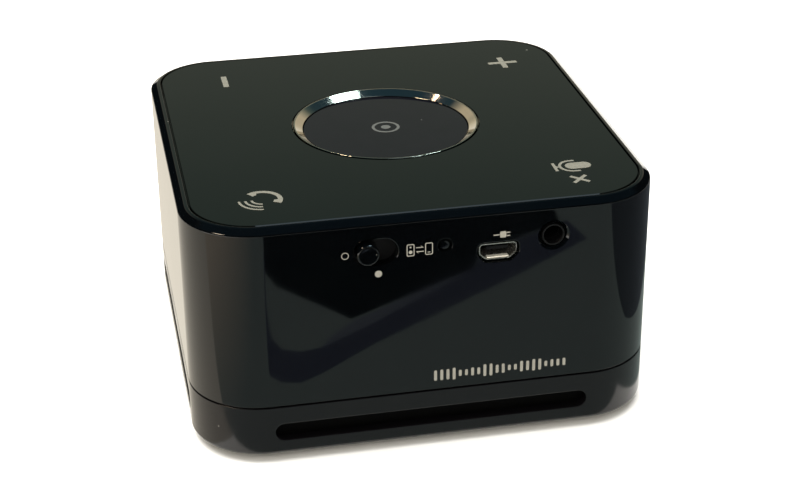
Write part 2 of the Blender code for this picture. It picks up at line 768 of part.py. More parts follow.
def pairing_switch(gloss, black):
    """The pin-like button, and the push switch that it presses."""
    face = -HALF + 0.05 * MM
    flange_r = 2.2 * MM
    profile = [
        (0, 0),
        (PAIR_R, 0),
        (PAIR_R, -2.55 * MM),
        (flange_r, -2.55 * MM),
        (flange_r, -3.15 * MM),
        (0.8 * MM, -3.15 * MM),
        (0.8 * MM, -4.35 * MM),
        (0, -4.35 * MM),
    ]
    place(facing(turned(profile, False, 24), PAIR_X, face, PAIR_Z), "pairing_button", gloss)
    plunger_front = face + 4.65 * MM
    plunger = facing(rod(0, 0, 1.7 * MM, -1.3 * MM, 0), PAIR_X, plunger_front, PAIR_Z)
    place(plunger, "tact_switch_plunger", black)
    body_front = plunger_front + 0.5 * MM
    half = 3 * MM
    body_low = (PAIR_X - half, body_front, ON_BOARD)
    body = block(body_low, (PAIR_X + half, body_front + 3.5 * MM, PAIR_Z + half))
    place(body, "tact_switch_body", black)
    cut(body, facing(rod(0, 0, 2 * MM, -1.7 * MM, 1 * MM), PAIR_X, body_front, PAIR_Z))


# ---------------------------------------------------------------- assembly


def build():
    piano_black = principled("piano_black_abs", (0.006, 0.006, 0.007), 0.06)
    panel_black = principled("smoked_acrylic", (0.004, 0.005, 0.004), 0.03)
    disc_black = principled("tinted_acrylic", (0.012, 0.010, 0.014), 0.05)
    chrome = principled("chromed_abs", (0.75, 0.72, 0.66), 0.08, 1.0)
    satin_black = principled("satin_black_abs", (0.014, 0.013, 0.014), 0.32)
    switch_black = principled("switch_nylon", (0.02, 0.02, 0.021), 0.45)
    rubber = principled("rubber", (0.025, 0.025, 0.025), 0.8)
    cloth = principled("acoustic_cloth", (0.004, 0.004, 0.004), 0.95)
    foam = principled("foam", (0.03, 0.03, 0.03), 0.95)
    steel = principled("plated_steel", (0.6, 0.6, 0.58), 0.3, 1.0)
    ferrite = principled("ferrite", (0.03, 0.03, 0.032), 0.6)
    paper = principled("cone_paper", (0.02, 0.02, 0.02), 0.85)
    copper = principled("copper", (0.7, 0.33, 0.18), 0.35, 1.0)
    laminate = principled("green_laminate", (0.01, 0.09, 0.035), 0.4)
    foil = principled("battery_foil", (0.3, 0.33, 0.38), 0.35, 0.6)
    amber_film = principled("amber_film", (0.5, 0.24, 0.03), 0.4)
    lead_pvc = principled("lead_sleeve", (0.35, 0.01, 0.01), 0.5)

    upper_housing(piano_black)
    top_panel(panel_black)
    ring_and_disc(chrome, disc_black)
    base_shell(satin_black)
    feet(rubber)
    screws(steel)
    slot_screens(cloth)
    sound_deflector(satin_black)
    baffle_and_gasket(satin_black, foam)
    speaker_basket(steel)
    cone_parts(paper, rubber, cloth, copper)
    motor_parts(steel, ferrite)
    boards(laminate, copper)
    board_pieces(steel, switch_black, amber_film)
    battery(foil, foam, lead_pvc)
    microphone(steel, rubber)
    usb_port(steel, switch_black)
    audio_jack(switch_black)
    power_switch(piano_black, switch_black)
    pairing_switch(piano_black, switch_black)


build()
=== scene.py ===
"""Looks for a square desktop conference speakerphone.

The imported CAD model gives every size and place. The case, its panel, the ring, the ports and the
switches are made again here with fine edges, and each piece rides on the body of the node that it
stands for. +Z is up and the ports face -Y.
"""

import json
import math

import bmesh
import bpy
from mathutils import Matrix, Quaternion, Vector


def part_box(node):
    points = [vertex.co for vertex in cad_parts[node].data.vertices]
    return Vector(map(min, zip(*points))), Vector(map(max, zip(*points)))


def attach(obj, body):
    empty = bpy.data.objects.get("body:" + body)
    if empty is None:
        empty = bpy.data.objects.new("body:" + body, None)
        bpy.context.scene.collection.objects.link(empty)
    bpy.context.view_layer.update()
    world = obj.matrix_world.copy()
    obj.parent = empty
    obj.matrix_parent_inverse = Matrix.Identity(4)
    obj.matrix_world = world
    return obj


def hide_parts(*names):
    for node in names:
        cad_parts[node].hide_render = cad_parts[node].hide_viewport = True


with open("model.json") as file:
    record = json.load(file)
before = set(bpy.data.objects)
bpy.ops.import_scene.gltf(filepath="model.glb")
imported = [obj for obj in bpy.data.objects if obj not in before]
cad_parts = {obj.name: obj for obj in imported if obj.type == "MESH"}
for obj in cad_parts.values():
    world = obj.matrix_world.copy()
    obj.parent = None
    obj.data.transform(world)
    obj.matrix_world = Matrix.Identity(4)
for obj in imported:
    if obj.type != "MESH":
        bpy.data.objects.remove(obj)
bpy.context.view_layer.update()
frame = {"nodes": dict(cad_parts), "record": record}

MM = 0.001
NODES = frame["nodes"]

# ---------- sizes, from the frame

HOUSING_LOW, HOUSING_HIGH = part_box("upper_housing")
BASE_LOW, BASE_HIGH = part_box("base_shell")
PANEL_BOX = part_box("top_panel")
RING_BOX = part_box("chrome_ring")
DISC_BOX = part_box("centre_disc")
SLIDER_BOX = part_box("power_slider")
BUTTON_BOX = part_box("pairing_button")
USB_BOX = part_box("micro_usb_shell")
JACK_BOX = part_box("audio_jack_collar")

HALF = HOUSING_HIGH.x
TOP = HOUSING_HIGH.z
CORNER = 14.4 * MM
WALL = 2.2 * MM
RIM_WIDE = 1.4 * MM
RIM_TALL = 0.92 * MM
LIP_FALL = 0.1 * MM
REBATE = HALF - PANEL_BOX[1].x - 0.3 * MM
REBATE_FLOOR = PANEL_BOX[0].z - 0.3 * MM
LEDGE_THICK = 1.3 * MM
LEDGE_REACH = 5.2 * MM
RING_R = 19.05 * MM
KNOB_R = 2.12 * MM
SLOT_END_R = 2.7 * MM
KNOB_TRAVEL = 3.0 * MM
KNOB_X = SLIDER_BOX[0].x + 6.1 * MM
KNOB_Z = (SLIDER_BOX[0].z + SLIDER_BOX[1].z) / 2 + 0.05 * MM
BUTTON_X = (BUTTON_BOX[0].x + BUTTON_BOX[1].x) / 2
BUTTON_Z = (BUTTON_BOX[0].z + BUTTON_BOX[1].z) / 2
USB_X = (USB_BOX[0].x + USB_BOX[1].x) / 2
USB_LOW = USB_BOX[0].z
USB_TALL = USB_BOX[1].z - USB_BOX[0].z
JACK_X = (JACK_BOX[0].x + JACK_BOX[1].x) / 2
JACK_Z = (JACK_BOX[0].z + JACK_BOX[1].z) / 2
SLOT_LONG = 61.8 * MM
SLOT_TALL = 3.5 * MM
SLOT_Z = 6.65 * MM
POST_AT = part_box("case_screw_1")[1].x - 2.8 * MM
FOOT_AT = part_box("rubber_foot_1")[1].x - 4.5 * MM
MINUS_AT = (-29.9 * MM, 30.6 * MM)
PLUS_AT = (32.3 * MM, 28.8 * MM)
MICROPHONE_AT = (32.45 * MM, -29.9 * MM)
MUTE_CROSS_AT = (31.0 * MM, -36.2 * MM)
HANDSET_AT = (-30.1 * MM, -32.5 * MM)
POST_R = 3.75 * MM
SCREW_HOLE_R = 1.7 * MM
INK_THICK = 0.02 * MM
SPECK_REACH = 0.035
CORNERS = [(1, 1), (-1, 1), (-1, -1), (1, -1)]

# Local X and Y lie in the port face, with local +Z out of it.
ON_PORT_FACE = Matrix.Translation((0, -HALF, 0)) @ Matrix.Rotation(math.radians(90), 4, "X")
ON_PANEL = Matrix.Translation((0, 0, TOP))


# ---------- materials


def srgb(code):
    """A six-digit sRGB hex colour as linear red, green, blue and alpha."""
    channels = [int(code[i : i + 2], 16) / 255 for i in (0, 2, 4)]
    linear = [c / 12.92 if c <= 0.04045 else ((c + 0.055) / 1.055) ** 2.4 for c in channels]
    return (*linear, 1.0)


def add(tree, kind, settings=None, links=None):
    """Adds a shader node with its settings, properties or inputs by name or number, and its links."""
    made = tree.nodes.new("ShaderNode" + kind)
    for key, value in (settings or {}).items():
        if isinstance(key, int) or key in made.inputs:
            made.inputs[key].default_value = value
        else:
            setattr(made, key, value)
    for key, output in (links or {}).items():
        tree.links.new(output, made.inputs[key])
    return made


def per(size):
    """The pattern scale that gives features of this size in metres."""
    return 1.0 / size


def coarse_bands(size):
    """A wave pattern's scale for bands of this size, drawn six to seven times as coarse."""
    return per(size) / 20


class Finish:
    """A Principled material being made: its tree, its shader and the object coordinates."""

    def __init__(self, name, colour, roughness, metallic=0.0, ior=1.5, specular=0.5):
        """Starts from one even colour and gloss."""
        self.material = bpy.data.materials.new(name)
        self.material.use_nodes = True
        self.material.diffuse_color = srgb(colour)
        self.tree = self.material.node_tree
        self.shader = self.tree.nodes["Principled BSDF"]
        uniform = {"Base Color": srgb(colour), "Roughness": roughness, "Metallic": metallic}
        uniform |= {"IOR": ior, "Specular IOR Level": specular}
        for key, value in uniform.items():
            self.shader.inputs[key].default_value = value
        self.place = add(self.tree, "TexCoord").outputs["Object"]

    def mottle(self, dark, light, size):
        """Lets the colour drift between two tones over patches of this size."""
        noise = {"Scale": per(size), "Detail": 4.0, "Roughness": 0.6}
        patches = add(self.tree, "TexNoise", noise, {"Vector": self.place})
        tones = {"data_type": "RGBA", 6: srgb(dark), 7: srgb(light)}
        mixed = add(self.tree, "Mix", tones, {0: patches.outputs["Fac"]})
        self.tree.links.new(mixed.outputs[2], self.shader.inputs["Base Color"])

    def smears(self, low, high, size, stretch=(1.0, 1.0, 1.0)):
        """Lets the roughness drift, as handling and moulding leave it."""
        spread = add(self.tree, "Mapping", {"Scale": stretch}, {"Vector": self.place})
        noise = {"Scale": per(size), "Detail": 5.0, "Roughness": 0.65}
        patches = add(self.tree, "TexNoise", noise, {"Vector": spread.outputs["Vector"]})
        span = {"From Min": 0.35, "From Max": 0.7, "To Min": low, "To Max": high}
        drift = add(self.tree, "MapRange", span, {"Value": patches.outputs["Fac"]})
        self.tree.links.new(drift.outputs["Result"], self.shader.inputs["Roughness"])

    def relief(self, pattern, depth, detail=3.0):
        """Raises the surface by a real depth: by a texture's output, or by soft waves of a size."""
        if isinstance(pattern, float):
            waves = {"Scale": per(pattern), "Detail": detail}
            pattern = add(self.tree, "TexNoise", waves, {"Vector": self.place}).outputs["Fac"]
        raised = add(self.tree, "Bump", {"Strength": 1.0, "Distance": depth}, {"Height": pattern})
        self.tree.links.new(raised.outputs["Normal"], self.shader.inputs["Normal"])

    def dust(self, spacing, share, tone):
        """Sparse specks of dust: small discs at the middle of a few cells."""
        cells = add(self.tree, "TexVoronoi", {"Scale": per(spacing)}, {"Vector": self.place})
        small = {"operation": "LESS_THAN", 1: SPECK_REACH}
        near = add(self.tree, "Math", small, {0: cells.outputs["Distance"]})
        picked = add(self.tree, "SeparateColor", links={"Color": cells.outputs["Color"]})
        few = {"operation": "LESS_THAN", 1: share}
        chosen = add(self.tree, "Math", few, {0: picked.outputs["Red"]})
        both = {0: near.outputs[0], 1: chosen.outputs[0]}
        speck = add(self.tree, "Math", {"operation": "MULTIPLY"}, both)
        colour = self.shader.inputs["Base Color"]
        layers = {0: speck.outputs[0], 6: colour.links[0].from_socket}
        dusty = add(self.tree, "Mix", {"data_type": "RGBA", 7: srgb(tone)}, layers)
        self.tree.links.new(dusty.outputs[2], colour)


def piano_black_abs():
    """Black ABS from a mirror-polished mould: deep colour, hard clear gloss, faint ripple, dust."""
    made = Finish("piano_black_abs", "020304", 0.05, ior=1.53)
    made.mottle("010203", "040506", 9 * MM)
    made.smears(0.035, 0.075, 14 * MM)
    made.relief(7 * MM, 0.004 * MM, 2.0)
    made.dust(5.5 * MM, 0.3, "77766f")
    return made.material


def smoked_acrylic():
    """Smoked cast acrylic over black print: flat, glassy, with a slight green depth."""
    made = Finish("smoked_acrylic", "030403", 0.03, ior=1.49)
    made.mottle("020302", "050605", 16 * MM)
    made.smears(0.02, 0.055, 18 * MM)
    made.relief(20 * MM, 0.002 * MM, 1.0)
    made.dust(6.5 * MM, 0.22, "6f6f68")
    return made.material


def tinted_acrylic():
    """Violet-tinted acrylic, a touch lighter than the panel."""
    made = Finish("tinted_acrylic", "0b090d", 0.05, ior=1.38)
    made.mottle("0a080c", "100d12", 6 * MM)
    made.smears(0.03, 0.08, 9 * MM)
    made.relief(9 * MM, 0.002 * MM, 1.0)
    made.dust(4 * MM, 0.25, "5a5856")
    return made.material


def chromed_abs():
    """ABS plated with bright chromium: mirror-like, with faint ripples and handling haze."""
    made = Finish("chromed_abs", "cfc7b6", 0.08, metallic=1.0)
    made.mottle("c8bfae", "d8d0c0", 3 * MM)
    made.smears(0.05, 0.11, 4 * MM)
    made.relief(2.5 * MM, 0.003 * MM, 2.0)
    return made.material


def satin_black_abs():
    """Black ABS from a fine-stoned mould: the base's softer gloss, with a fine grain."""
    made = Finish("satin_black_abs", "08070a", 0.16, ior=1.45)
    made.mottle("070608", "0b0a0c", 8 * MM)
    made.smears(0.12, 0.22, 10 * MM)
    made.relief(0.5 * MM, 0.003 * MM, 3.0)
    made.dust(6 * MM, 0.25, "5f5e5a")
    return made.material


def moulded_nylon():
    """Plain black glass-filled nylon of switch and socket bodies: dull, slightly speckled."""
    made = Finish("moulded_nylon", "0a0a0b", 0.35, specular=0.25)
    made.mottle("070708", "0e0e0f", 1.2 * MM)
    made.smears(0.28, 0.42, 2 * MM)
    made.relief(0.3 * MM, 0.01 * MM)
    return made.material


def cream_ink():
    """Pad-printed cream ink: flat, slightly dry at its edges and never quite even."""
    made = Finish("cream_ink", "85827a", 0.5)
    made.mottle("7b7870", "8f8c82", 0.7 * MM)
    made.smears(0.4, 0.6, 1.0 * MM)
    made.relief(0.25 * MM, 0.004 * MM)
    return made.material


def ink_under_acrylic():
    """The same cream ink behind smoked acrylic, which greys it."""
    made = Finish("ink_under_acrylic", "716f67", 0.25, ior=1.45)
    made.mottle("66645c", "7b786e", 0.7 * MM)
    made.smears(0.2, 0.32, 1.0 * MM)
    return made.material


def grey_ink():
    """The faint grey print under the tinted disc."""
    made = Finish("grey_ink", "4b4c4b", 0.35)
    made.mottle("434443", "565755", 0.6 * MM)
    made.smears(0.3, 0.45, 1.0 * MM)
    return made.material


def moulded_rubber():
    """Black silicone rubber: matt, softly mottled, lightly dusty."""
    made = Finish("moulded_rubber", "1b1b1b", 0.8)
    made.mottle("151515", "242423", 1.5 * MM)
    made.smears(0.7, 0.9, 2 * MM)
    made.relief(0.35 * MM, 0.02 * MM)
    made.shader.inputs["Sheen Weight"].default_value = 0.15
    return made.material


def closed_cell_foam():
    """Black polyurethane foam: small open-skinned cells."""
    made = Finish("closed_cell_foam", "181818", 0.95)
    made.mottle("101010", "242424", 0.8 * MM)
    cells = add(made.tree, "TexVoronoi", {"Scale": per(0.6 * MM)}, {"Vector": made.place})
    made.relief(cells.outputs["Distance"], 0.1 * MM)
    return made.material


def acoustic_cloth():
    """Black woven polyester behind the slots: a plain weave of 0.5 mm threads."""
    made = Finish("acoustic_cloth", "030303", 0.95, specular=0.15)
    made.mottle("020202", "050505", 1.0 * MM)
    threads = []
    for way in ("Z", "DIAGONAL"):
        bands = {"wave_type": "BANDS", "bands_direction": way, "Scale": coarse_bands(0.5 * MM)}
        threads.append(add(made.tree, "TexWave", bands, {"Vector": made.place}).outputs["Fac"])
    woven = add(made.tree, "Math", {"operation": "MULTIPLY"}, {0: threads[0], 1: threads[1]})
    made.relief(woven.outputs[0], 0.08 * MM)
    return made.material


def nickel_plate():
    """Nickel-plated steel: bright but not mirror-like, with fine drawing marks."""
    made = Finish("nickel_plate", "d2cfc6", 0.22, metallic=0.95)
    made.mottle("c4c1b7", "dedbd2", 1.5 * MM)
    made.smears(0.18, 0.36, 1.0 * MM, stretch=(1.0, 1.0, 6.0))
    made.relief(0.4 * MM, 0.004 * MM)
    return made.material


def tin_painted_lit():
    """Tinned spring steel, pale and half dull. Its pale, duller colour is painted light: a lit copy of the
    nickel plate for the floor just inside the socket's mouth.
    """
    made = Finish("tin_painted_lit", "e9e3d4", 0.35, metallic=0.3)
    made.mottle("ddd6c6", "f1ecdf", 0.5 * MM)
    made.smears(0.28, 0.45, 0.6 * MM)
    return made.material


def gold_plate():
    """Flash-gold contacts: warm, soft-bright metal."""
    made = Finish("gold_plate", "d8a752", 0.25, metallic=1.0)
    made.mottle("c8953f", "e2b662", 0.5 * MM)
    made.smears(0.2, 0.35, 0.5 * MM)
    return made.material


def sintered_ferrite():
    """Sintered ferrite: dull charcoal ceramic with a fine pitted skin."""
    made = Finish("sintered_ferrite", "2a2a2b", 0.6)
    made.mottle("222223", "353536", 1.5 * MM)
    made.smears(0.5, 0.7, 1.0 * MM)
    made.relief(0.4 * MM, 0.03 * MM)
    return made.material


def pressed_paper():
    """Black pressed paper pulp of the cone: matt, with short felted fibres."""
    made = Finish("pressed_paper", "1a1a1a", 0.9)
    made.mottle("121212", "262525", 0.8 * MM)
    made.smears(0.82, 0.96, 1.0 * MM)
    made.relief(0.3 * MM, 0.04 * MM, 6.0)
    return made.material


def enamelled_copper():
    """Fine enamelled copper wire, wound close in 0.3 mm turns along the axis."""
    made = Finish("enamelled_copper", "b5703f", 0.3, metallic=1.0)
    made.mottle("9c5b30", "c47f4c", 1.0 * MM)
    bands = {"wave_type": "BANDS", "bands_direction": "Z", "Scale": coarse_bands(0.3 * MM)}
    turns = add(made.tree, "TexWave", bands, {"Vector": made.place})
    made.relief(turns.outputs["Fac"], 0.1 * MM)
    return made.material


def board_laminate():
    """Glass-epoxy circuit board under green solder mask: semi-gloss, weave just showing."""
    made = Finish("board_laminate", "0f4a2b", 0.35)
    made.mottle("0c3f24", "125432", 2.0 * MM)
    made.smears(0.28, 0.45, 3 * MM)
    bands = {"wave_type": "BANDS", "bands_direction": "DIAGONAL", "Scale": coarse_bands(0.8 * MM)}
    weave = add(made.tree, "TexWave", bands, {"Vector": made.place})
    made.relief(weave.outputs["Fac"], 0.01 * MM)
    return made.material


def pouch_foil():
    """Laminated aluminium battery pouch: satin silver with soft creases."""
    made = Finish("pouch_foil", "9aa0a8", 0.35, metallic=0.7)
    made.mottle("8b919a", "abb0b6", 6 * MM)
    made.smears(0.28, 0.5, 5 * MM)
    made.relief(4 * MM, 0.15 * MM)
    return made.material


def polyimide_film():
    """Amber polyimide film of a flexible circuit."""
    made = Finish("polyimide_film", "a8641c", 0.3)
    made.mottle("985614", "bb7426", 2.0 * MM)
    made.smears(0.22, 0.4, 2 * MM)
    return made.material


def pvc_sleeve():
    """Red PVC wire insulation: soft gloss."""
    made = Finish("pvc_sleeve", "8a1515", 0.4)
    made.mottle("7a1010", "9a1d1c", 1.0 * MM)
    made.smears(0.35, 0.5, 1.0 * MM)
    return made.material


def studio_floor():
    """Seamless pale paper: matt, with barely visible unevenness."""
    made = Finish("studio_paper", "faf9f6", 0.9, ior=1.3, specular=0.1)
    made.mottle("f8f6f3", "fdfcfa", 60 * MM)
    made.relief(1.5 * MM, 0.01 * MM)
    return made.material


FINISHES = {
    "piano_black": piano_black_abs(),
    "panel_black": smoked_acrylic(),
    "disc_black": tinted_acrylic(),
    "ring_chrome": chromed_abs(),
    "base_black": satin_black_abs(),
    "inner_black": moulded_nylon(),
    "rubber_black": moulded_rubber(),
    "foam_black": closed_cell_foam(),
    "slot_cloth": acoustic_cloth(),
    "plated_steel": nickel_plate(),
    "ferrite": sintered_ferrite(),
    "cone_paper": pressed_paper(),
    "copper": enamelled_copper(),
    "board_green": board_laminate(),
    "battery_foil": pouch_foil(),
    "ribbon_film": polyimide_film(),
    "lead_sleeve": pvc_sleeve(),
    "print_cream": cream_ink(),
}
GREY_INK = grey_ink()
PANEL_INK = ink_under_acrylic()
GOLD = gold_plate()


# ---------- outlines


def arc(centre, radius, start, end, steps):
    """Points along an arc, from start to end in degrees."""
    points = []
    for step in range(steps + 1):
        angle = math.radians(start + (end - start) * step / steps)
        points.append((centre[0] + radius * math.cos(angle), centre[1] + radius * math.sin(angle)))
    return points


def circle(x, y, radius, steps=96):
    """Points round a circle."""
    return arc((x, y), radius, 0, 360, steps)[:-1]


def case_outline(inset):
    """The case's outline, this far inside its outer face: a square with round corners."""
    radius = max(CORNER - inset, 1.5 * MM)
    reach = HALF - inset - radius
    points = []
    for (side_x, side_y), start in zip(CORNERS, (0, 90, 180, 270)):
        points += arc((side_x * reach, side_y * reach), radius, start, start + 90, 32)
    return points


def stadium(x, y, length, height, steps=24):
    """A slot's outline, with half-round ends."""
    reach = (length - height) / 2
    right = arc((x + reach, y), height / 2, -90, 90, steps)
    left = arc((x - reach, y), height / 2, 90, 270, steps)
    return right + left


def rectangle(x, y, width, height):
    """The corners of a rectangle about a middle."""
    across, up = width / 2, height / 2
    return [(x + a * across, y + b * up) for a, b in ((-1, -1), (1, -1), (1, 1), (-1, 1))]


def filleted(points, radii, steps=5):
    """A closed outline whose corners are rounded to the given radii."""
    if not isinstance(radii, (list, tuple)):
        radii = [radii] * len(points)
    made = []
    for index, radius in enumerate(radii):
        corner = Vector(points[index])
        if radius == 0:
            made.append(tuple(corner))
            continue
        before = (Vector(points[index - 1]) - corner).normalized()
        after = (Vector(points[(index + 1) % len(points)]) - corner).normalized()
        half_angle = before.angle(after) / 2
        reach = radius / math.tan(half_angle)
        centre = corner + (before + after).normalized() * (radius / math.sin(half_angle))
        first = corner + before * reach - centre
        last = corner + after * reach - centre
        turn = math.atan2(first.x * last.y - first.y * last.x, first.dot(last))
        for step in range(steps + 1):
            made.append(tuple(centre + Matrix.Rotation(turn * step / steps, 2) @ first))
    return made


def usb_outline(grow):
    """A micro-B opening: wide above, narrow below, with rounded corners."""
    half_top = 3.6 * MM + grow
    half_low = 2.25 * MM + grow * 0.6
    top = USB_LOW + USB_TALL + grow
    low = USB_LOW - grow
    shoulder = USB_LOW + 1.25 * MM
    right = [(half_low, low), (half_top, shoulder), (half_top, top)]
    corners = right + [(-x, z) for x, z in reversed(right)]
    round_off = 0.72 * MM + max(grow, -0.3 * MM)
    return filleted([(USB_X + x, z) for x, z in corners], round_off, 6)


def band(centre, radius, width, start, end, steps=24):
    """A stroke along an arc, with square ends."""
    outer = arc(centre, radius + width / 2, start, end, steps)
    return outer + arc(centre, radius - width / 2, end, start, steps)


# ---------- meshes


def shaded(mesh, angle=28):
    """Smooth shading with edges sharper than this angle, in degrees, kept crisp."""
    mesh.shade_smooth()
    mesh.set_sharp_from_angle(angle=math.radians(angle))


def flat_faces_first(piece):
    """Lets the large faces rule the shading, so that flat walls mirror like flat walls."""
    step = piece.modifiers.new("weighted", "WEIGHTED_NORMAL")
    step.mode = "FACE_AREA"
    step.weight = 100
    step.keep_sharp = True


def in_scene(name, data):
    """A new object in the scene that shows this data."""
    made = bpy.data.objects.new(name, data)
    bpy.context.scene.collection.objects.link(made)
    return made


def new_piece(name, shape, angle=28):
    """Turns a bmesh into an object with faces pointing out."""
    bmesh.ops.recalc_face_normals(shape, faces=shape.faces)
    mesh = bpy.data.meshes.new(name)
    shape.to_mesh(mesh)
    shape.free()
    shaded(mesh, angle)
    return in_scene(name, mesh)


def loft(name, loops, ring=False, place=None):
    """Quads between loops of equally many points. A ring joins the last loop to the first."""
    shape = bmesh.new()
    rows = [[shape.verts.new(point) for point in loop] for loop in loops]
    pairs = list(zip(rows, rows[1:]))
    if ring:
        pairs.append((rows[-1], rows[0]))
    else:
        shape.faces.new(list(reversed(rows[0])))
        shape.faces.new(rows[-1])
    count = len(rows[0])
    for lower, upper in pairs:
        for i in range(count):
            j = (i + 1) % count
            shape.faces.new((lower[i], lower[j], upper[j], upper[i]))
    if place is not None:
        bmesh.ops.transform(shape, matrix=place, verts=shape.verts)
    return new_piece(name, shape)


def turned(name, profile, place=None, steps=96):
    """A closed profile of (radius, height) turned about Z. A radius of 0 makes a solid centre."""
    shape = bmesh.new()
    rows = []
    for radius, height in profile:
        if radius == 0:
            rows.append([shape.verts.new((0, 0, height))])
        else:
            rows.append([shape.verts.new((x, y, height)) for x, y in circle(0, 0, radius, steps)])
    for lower, upper in zip(rows, rows[1:] + rows[:1]):
        for i in range(steps):
            j = (i + 1) % steps
            if len(lower) == 1 and len(upper) == 1:
                continue
            if len(lower) == 1:
                shape.faces.new((lower[0], upper[j], upper[i]))
            elif len(upper) == 1:
                shape.faces.new((lower[i], lower[j], upper[0]))
            else:
                shape.faces.new((lower[i], lower[j], upper[j], upper[i]))
    if place is not None:
        bmesh.ops.transform(shape, matrix=place, verts=shape.verts)
    return new_piece(name, shape)


def stack(name, outline, levels, place=None, ring=False):
    """An outline that depends on an amount, drawn at each (amount, height) and joined up."""
    loops = [[(x, y, height) for x, y in outline(amount)] for amount, height in levels]
    return loft(name, loops, ring, place)


def block(name, low, high, edge=0.0):
    """A box with softened edges."""
    shape = bmesh.new()
    bmesh.ops.create_cube(shape, size=1.0)
    size = [b - a for a, b in zip(low, high)]
    bmesh.ops.scale(shape, vec=size, verts=shape.verts)
    middle = [(a + b) / 2 for a, b in zip(low, high)]
    bmesh.ops.translate(shape, vec=middle, verts=shape.verts)
    if edge:
        edges = list(shape.edges)
        bmesh.ops.bevel(shape, geom=edges, offset=edge, segments=3, profile=0.5, affect="EDGES")
    return new_piece(name, shape, 40)


def combined(piece, tools, operation="DIFFERENCE"):
    """Cuts tools out of a piece, or joins them to it, and removes them."""
    for tool in tools:
        step = piece.modifiers.new("step", "BOOLEAN")
        step.operation = operation
        step.object = tool
    bpy.context.view_layer.update()
    evaluated = piece.evaluated_get(bpy.context.evaluated_depsgraph_get())
    mesh = bpy.data.meshes.new_from_object(evaluated)
    old = piece.data
    piece.modifiers.clear()
    piece.data = mesh
    mesh.name = piece.name
    bpy.data.meshes.remove(old)
    for tool in tools:
        bpy.data.objects.remove(tool, do_unlink=True)
    shaded(mesh)
    return piece


def printed(name, outlines, place):
    """Flat print of closed outlines, laid on a face. An outline inside another is a hole."""
    curve = bpy.data.curves.new(name, "CURVE")
    curve.dimensions = "2D"
    curve.fill_mode = "BOTH"
    curve.extrude = INK_THICK / 2
    for points in outlines:
        spline = curve.splines.new("POLY")
        spline.points.add(len(points) - 1)
        for point, (x, y) in zip(spline.points, points):
            point.co = (x, y, 0, 1)
        spline.use_cyclic_u = True
    drawn = in_scene(name, curve)
    bpy.context.view_layer.update()
    evaluated = drawn.evaluated_get(bpy.context.evaluated_depsgraph_get())
    mesh = bpy.data.meshes.new_from_object(evaluated)
    bpy.data.objects.remove(drawn, do_unlink=True)
    shape = bmesh.new()
    shape.from_mesh(mesh)
    bpy.data.meshes.remove(mesh)
    bmesh.ops.remove_doubles(shape, verts=shape.verts, dist=0.0005 * MM)
    lift = Matrix.Translation((0, 0, INK_THICK / 2 + 0.01 * MM))
    bmesh.ops.transform(shape, matrix=place @ lift, verts=shape.verts)
    return new_piece(name, shape)


def fit(piece, body, finish, *stands_for, material=None):
    """Gives a piece its finish, its body and the CAD nodes that it stands for."""
    piece.data.materials.clear()
    piece.data.materials.append(material or FINISHES[finish])
    flat_faces_first(piece)
    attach(piece, body)
    if stands_for:
        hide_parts(*stands_for)
    return piece


# ---------- the case


def at_corners(across, along, height):
    """The four places that mirror each other about the middle."""
    return [Matrix.Translation((x * across, y * along, height)) for x, y in CORNERS]


def boss(inner, outer, length, place):
    """A plain tube that a screw enters."""
    profile = [(outer, length), (outer, 0), (inner, 0), (inner, length)]
    return turned("boss", profile, place, 32)


def flared(outline, depth, flare=0.18 * MM):
    """Levels of a cutter that opens a little at the face, so that the opening's edge is eased."""
    out = 1 * MM
    levels = [(0, -depth), (0, -flare), (flare * 0.35, -flare * 0.35), (flare, 0), (flare, out)]
    return stack("cutter", outline, levels, ON_PORT_FACE)


